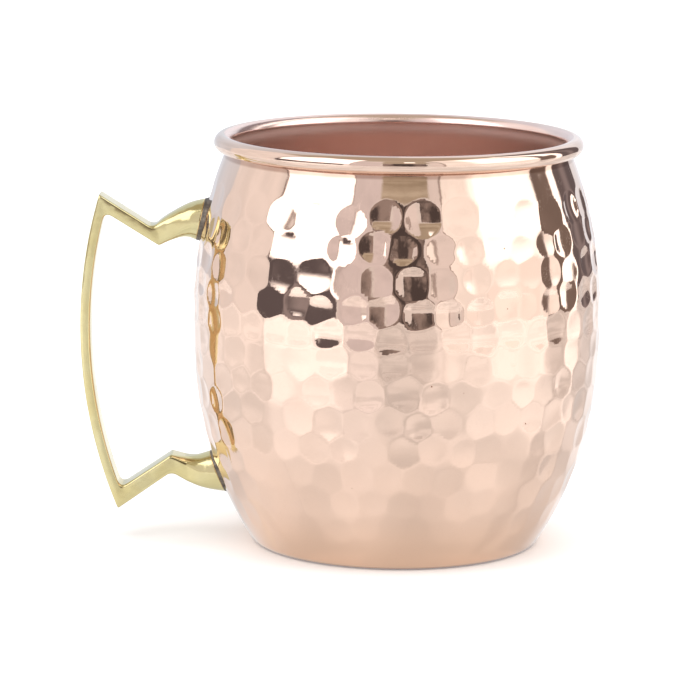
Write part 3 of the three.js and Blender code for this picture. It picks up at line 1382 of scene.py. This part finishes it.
@dataclass(frozen=True)
class Surroundings:
    """What the bright metal mirrors: white softboxes and dark flags round a pale room."""

    room: Colour = (0.92, 0.90, 0.90)
    backdrop: Colour = (1.0, 1.0, 1.0)
    mottle_size: float = 0.3
    mottle_share: float = 0.12
    mottle_edges: Span = (0.35, 0.65)
    panels: tuple[Panel, ...] = (
        Panel(-200.0, 200.0, 52.0, 100.0, (0.55, 0.49, 0.40), soft_height=6.0),
        Panel(-128.0, -82.0, -20.0, 50.0, (1.04, 1.01, 1.01), soft=4.0),
        Panel(-80.6, -28.8, 1.5, 64.0, (0.32, 0.27, 0.26), soft=0.4, soft_height=0.5),
        Panel(-79.0, -30.0, 3.0, 62.0, (2.2, 2.2, 2.25), soft=0.5),
        Panel(-82.0, -34.0, -12.0, 7.0, (0.15, 0.13, 0.14)),
        Panel(-66.0, -52.0, -12.0, 4.0, (0.36, 0.32, 0.33), soft=5.0),
        Panel(-29.5, -11.0, -12.0, 45.0, (0.84, 0.79, 0.82)),
        Panel(-11.0, 20.5, 28.0, 52.0, (0.53, 0.465, 0.365), soft_height=1.0),
        Panel(-11.0, 20.5, 30.5, 31.5, (0.70, 0.64, 0.52), soft_height=0.8),
        Panel(-11.0, 20.5, 33.2, 33.8, (0.38, 0.32, 0.235), soft_height=0.6),
        Panel(4.0, 12.0, 38.0, 48.0, (2.2, 2.2, 2.2), soft=1.0),
        Panel(20.5, 28.5, -10.0, 45.0, (0.95, 0.90, 0.90), soft=1.0),
        Panel(27.6, 29.4, -12.0, 60.0, (0.50, 0.44, 0.42), soft=0.5),
        Panel(29.2, 50.0, -12.0, 62.0, (1.25, 1.22, 1.2), soft=0.6),
        Panel(50.0, 99.0, 6.0, 62.0, (2.2, 2.2, 2.2), soft=5.0, soft_height=7.0),
        Panel(50.0, 99.0, -14.0, 6.0, (1.35, 1.28, 1.25), soft=3.0, soft_height=3.0),
        Panel(98.0, 106.0, -10.0, 60.0, (0.22, 0.185, 0.19)),
        Panel(106.0, 121.0, -10.0, 60.0, (2.0, 2.0, 2.0)),
        Panel(98.0, 114.0, -10.0, 20.0, (0.25, 0.20, 0.18), soft_height=4.0),
        Panel(121.0, 149.0, -10.0, 55.0, (0.17, 0.145, 0.155)),
        Panel(149.0, 160.0, 2.0, 22.0, (0.72, 0.70, 0.74), soft_height=3.0),
        Panel(130.0, 137.0, -10.0, 55.0, (0.30, 0.26, 0.27), soft=3.0),
        Panel(149.0, 181.0, -10.0, 60.0, (1.0, 1.03, 1.1)),
        Panel(-181.0, -128.0, -10.0, 60.0, (0.8, 0.85, 0.93)),
    )

    def build(self) -> None:
        """Paints the world."""
        world = bpy.data.worlds.new("studio")
        bpy.context.scene.world = world
        world.use_nodes = True
        graph = Graph(world.node_tree)
        direction = graph.add("ShaderNodeTexCoord", output="Generated")
        x, y, z = graph.parts(direction)
        degrees = math.degrees(1.0)
        around = x.apply("ARCTAN2", -y) * degrees
        height = z.apply("ARCSINE") * degrees
        colour: Value | Colour = self.room
        for panel in self.panels:
            across = around.between(panel.left, panel.right, panel.soft)
            up = height.between(panel.low, panel.high, panel.soft_height)
            colour = graph.mix(across * up, colour, panel.colour)
        clouds = graph.noise(direction, self.mottle_size / MM, 3.0, 0.55)
        mottle = clouds.step(*self.mottle_edges) * self.mottle_share
        colour = graph.mix(mottle, colour, BLACK)
        is_seen = graph.add("ShaderNodeLightPath", output="Is Camera Ray")
        shown = graph.mix(is_seen, colour, self.backdrop)
        back = graph.add("ShaderNodeBackground", {}, {"Color": shown, "Strength": 1.0})
        graph.add("ShaderNodeOutputWorld", {}, {"Surface": back})


@dataclass(frozen=True)
class Studio:
    """The floor, what the metal mirrors, the light from above and the camera.

    The table and the flag are seen only in the metal. The ground is the white floor that is seen
    directly, and the metal doesn't mirror it.
    """

    camera_distance: float = 890.4
    camera_height: float = 207.7
    camera_pitch: float = 10.297
    camera_turn: float = 0.7144
    camera_roll: float = 0.5785
    lens: float = 193.99
    clip: Span = (0.01, 50.0)
    ground: PaleFloor = PaleFloor(glow=0.14)
    table: PaleFloor = PaleFloor(
        colour=(0.46, 0.46, 0.46), roughness=0.17, shine=0.6, glow=0.31, shade=0.33,
    )
    table_reach: float = 600.0
    ground_drop: float = 0.02
    table_drop: float = 0.05
    floor_reach: float = 6000.0
    flag_distance: float = 1100.0
    flag_sides: tuple[float, float, float, float] = (-185.0, 340.0, -10.0, 640.0)
    lamp_height: float = 2200.0
    lamp_size: float = 2600.0
    lamp_power: float = 45.0

    def build(self) -> None:
        """Makes the setting."""
        bpy.context.scene.view_settings.view_transform = "Standard"
        Surroundings().build()
        self.floor()
        self.flag()
        self.lamp()
        self.camera()

    def floor(self) -> None:
        """Lays the floor, and the table that the metal mirrors in its place."""
        ground = self.square("ground", self.floor_reach, -self.ground_drop)
        ground.data.materials.append(self.ground.build())
        ground.visible_glossy = False
        table = self.square("table", self.table_reach, -self.table_drop)
        table.data.materials.append(self.table.build())
        table.visible_camera = False
        table.visible_diffuse = False

    def square(self, name: str, reach: float, height: float) -> bpy.types.Object:
        """A flat square that belongs to the setting and shades nothing.

        Args:
            name: its name.
            reach: from its middle to its sides.
            height: how high it lies.

        Returns:
            The square.
        """
        corners = ((-1, -1), (1, -1), (1, 1), (-1, 1))
        points = np.array([(x * reach, y * reach, height) for x, y in corners])
        piece = make_piece(name, points, [(0, 1, 2, 3)])
        piece.visible_shadow = False
        return piece

    def flag(self) -> None:
        """Stands a dark cloth behind the camera, which the metal mirrors as its dark middle."""
        left, right, low, high = self.flag_sides
        points = [(left, low), (right, low), (right, high), (left, high)]
        placed = np.array([(x, -self.flag_distance, z) for x, z in points])
        piece = make_piece("flag", placed, [(0, 1, 2, 3)])
        piece.data.materials.append(DarkCloth().build())
        piece.visible_camera = False
        piece.visible_diffuse = False
        piece.visible_shadow = False

    def lamp(self) -> None:
        """Hangs a broad soft lamp that the metal doesn't mirror."""
        data = bpy.data.lights.new("ceiling_lamp", "AREA")
        data.size = self.lamp_size * MM
        data.energy = self.lamp_power
        lamp = bpy.data.objects.new("ceiling_lamp", data)
        lamp.location = (0.0, 0.0, self.lamp_height * MM)
        lamp.visible_glossy = False
        bpy.context.scene.collection.objects.link(lamp)

    def camera(self) -> None:
        """Sets up the camera in front of the mug."""
        data = bpy.data.cameras.new("camera")
        data.lens = self.lens
        data.clip_start, data.clip_end = self.clip
        camera = bpy.data.objects.new("camera", data)
        turn = Matrix.Rotation(math.radians(self.camera_turn), 4, "Z")
        pitch = Matrix.Rotation(math.radians(90.0 - self.camera_pitch), 4, "X")
        roll = Matrix.Rotation(math.radians(self.camera_roll), 4, "Z")
        place = Matrix.Translation(Vector((0.0, -self.camera_distance, self.camera_height)) * MM)
        camera.matrix_world = place @ turn @ pitch @ roll
        bpy.context.scene.collection.objects.link(camera)
        bpy.context.scene.camera = camera


def report_piece(piece: bpy.types.Object) -> None:
    """Logs a finished piece and how many faces it has."""
    log.info("%s: %d faces", piece.name, len(piece.data.polygons))


def main() -> None:
    """Builds the mug and its setting, with the cup's size read from the frame, and logs each piece's
    faces.
    """
    logging.basicConfig(level=logging.INFO, format="%(name)s: %(message)s")
    Studio().build()
    _, cup_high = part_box("cup_shell")
    barrel = Barrel(height=cup_high.z / MM, belly_radius=cup_high.x / MM)
    cup = HammeredCup(barrel, Hammering())
    report_piece(cup.build(PolishedCopper().build(), SatinCopper().build()))
    handle = BrassHandle(barrel)
    report_piece(handle.build(CastBrass().build()))
    rings = handle.rings()
    solder = DullSolder().build()
    upper = SolderSeam("upper_seam", "upper_solder_joint", barrel, handle.upper_foot.gap)
    lower = SolderSeam("lower_seam", "lower_solder_joint", barrel, handle.lower_foot.gap)
    report_piece(upper.build(rings[0], solder))
    report_piece(lower.build(rings[-1][::-1], solder))


if __name__ == "__main__":
    main()
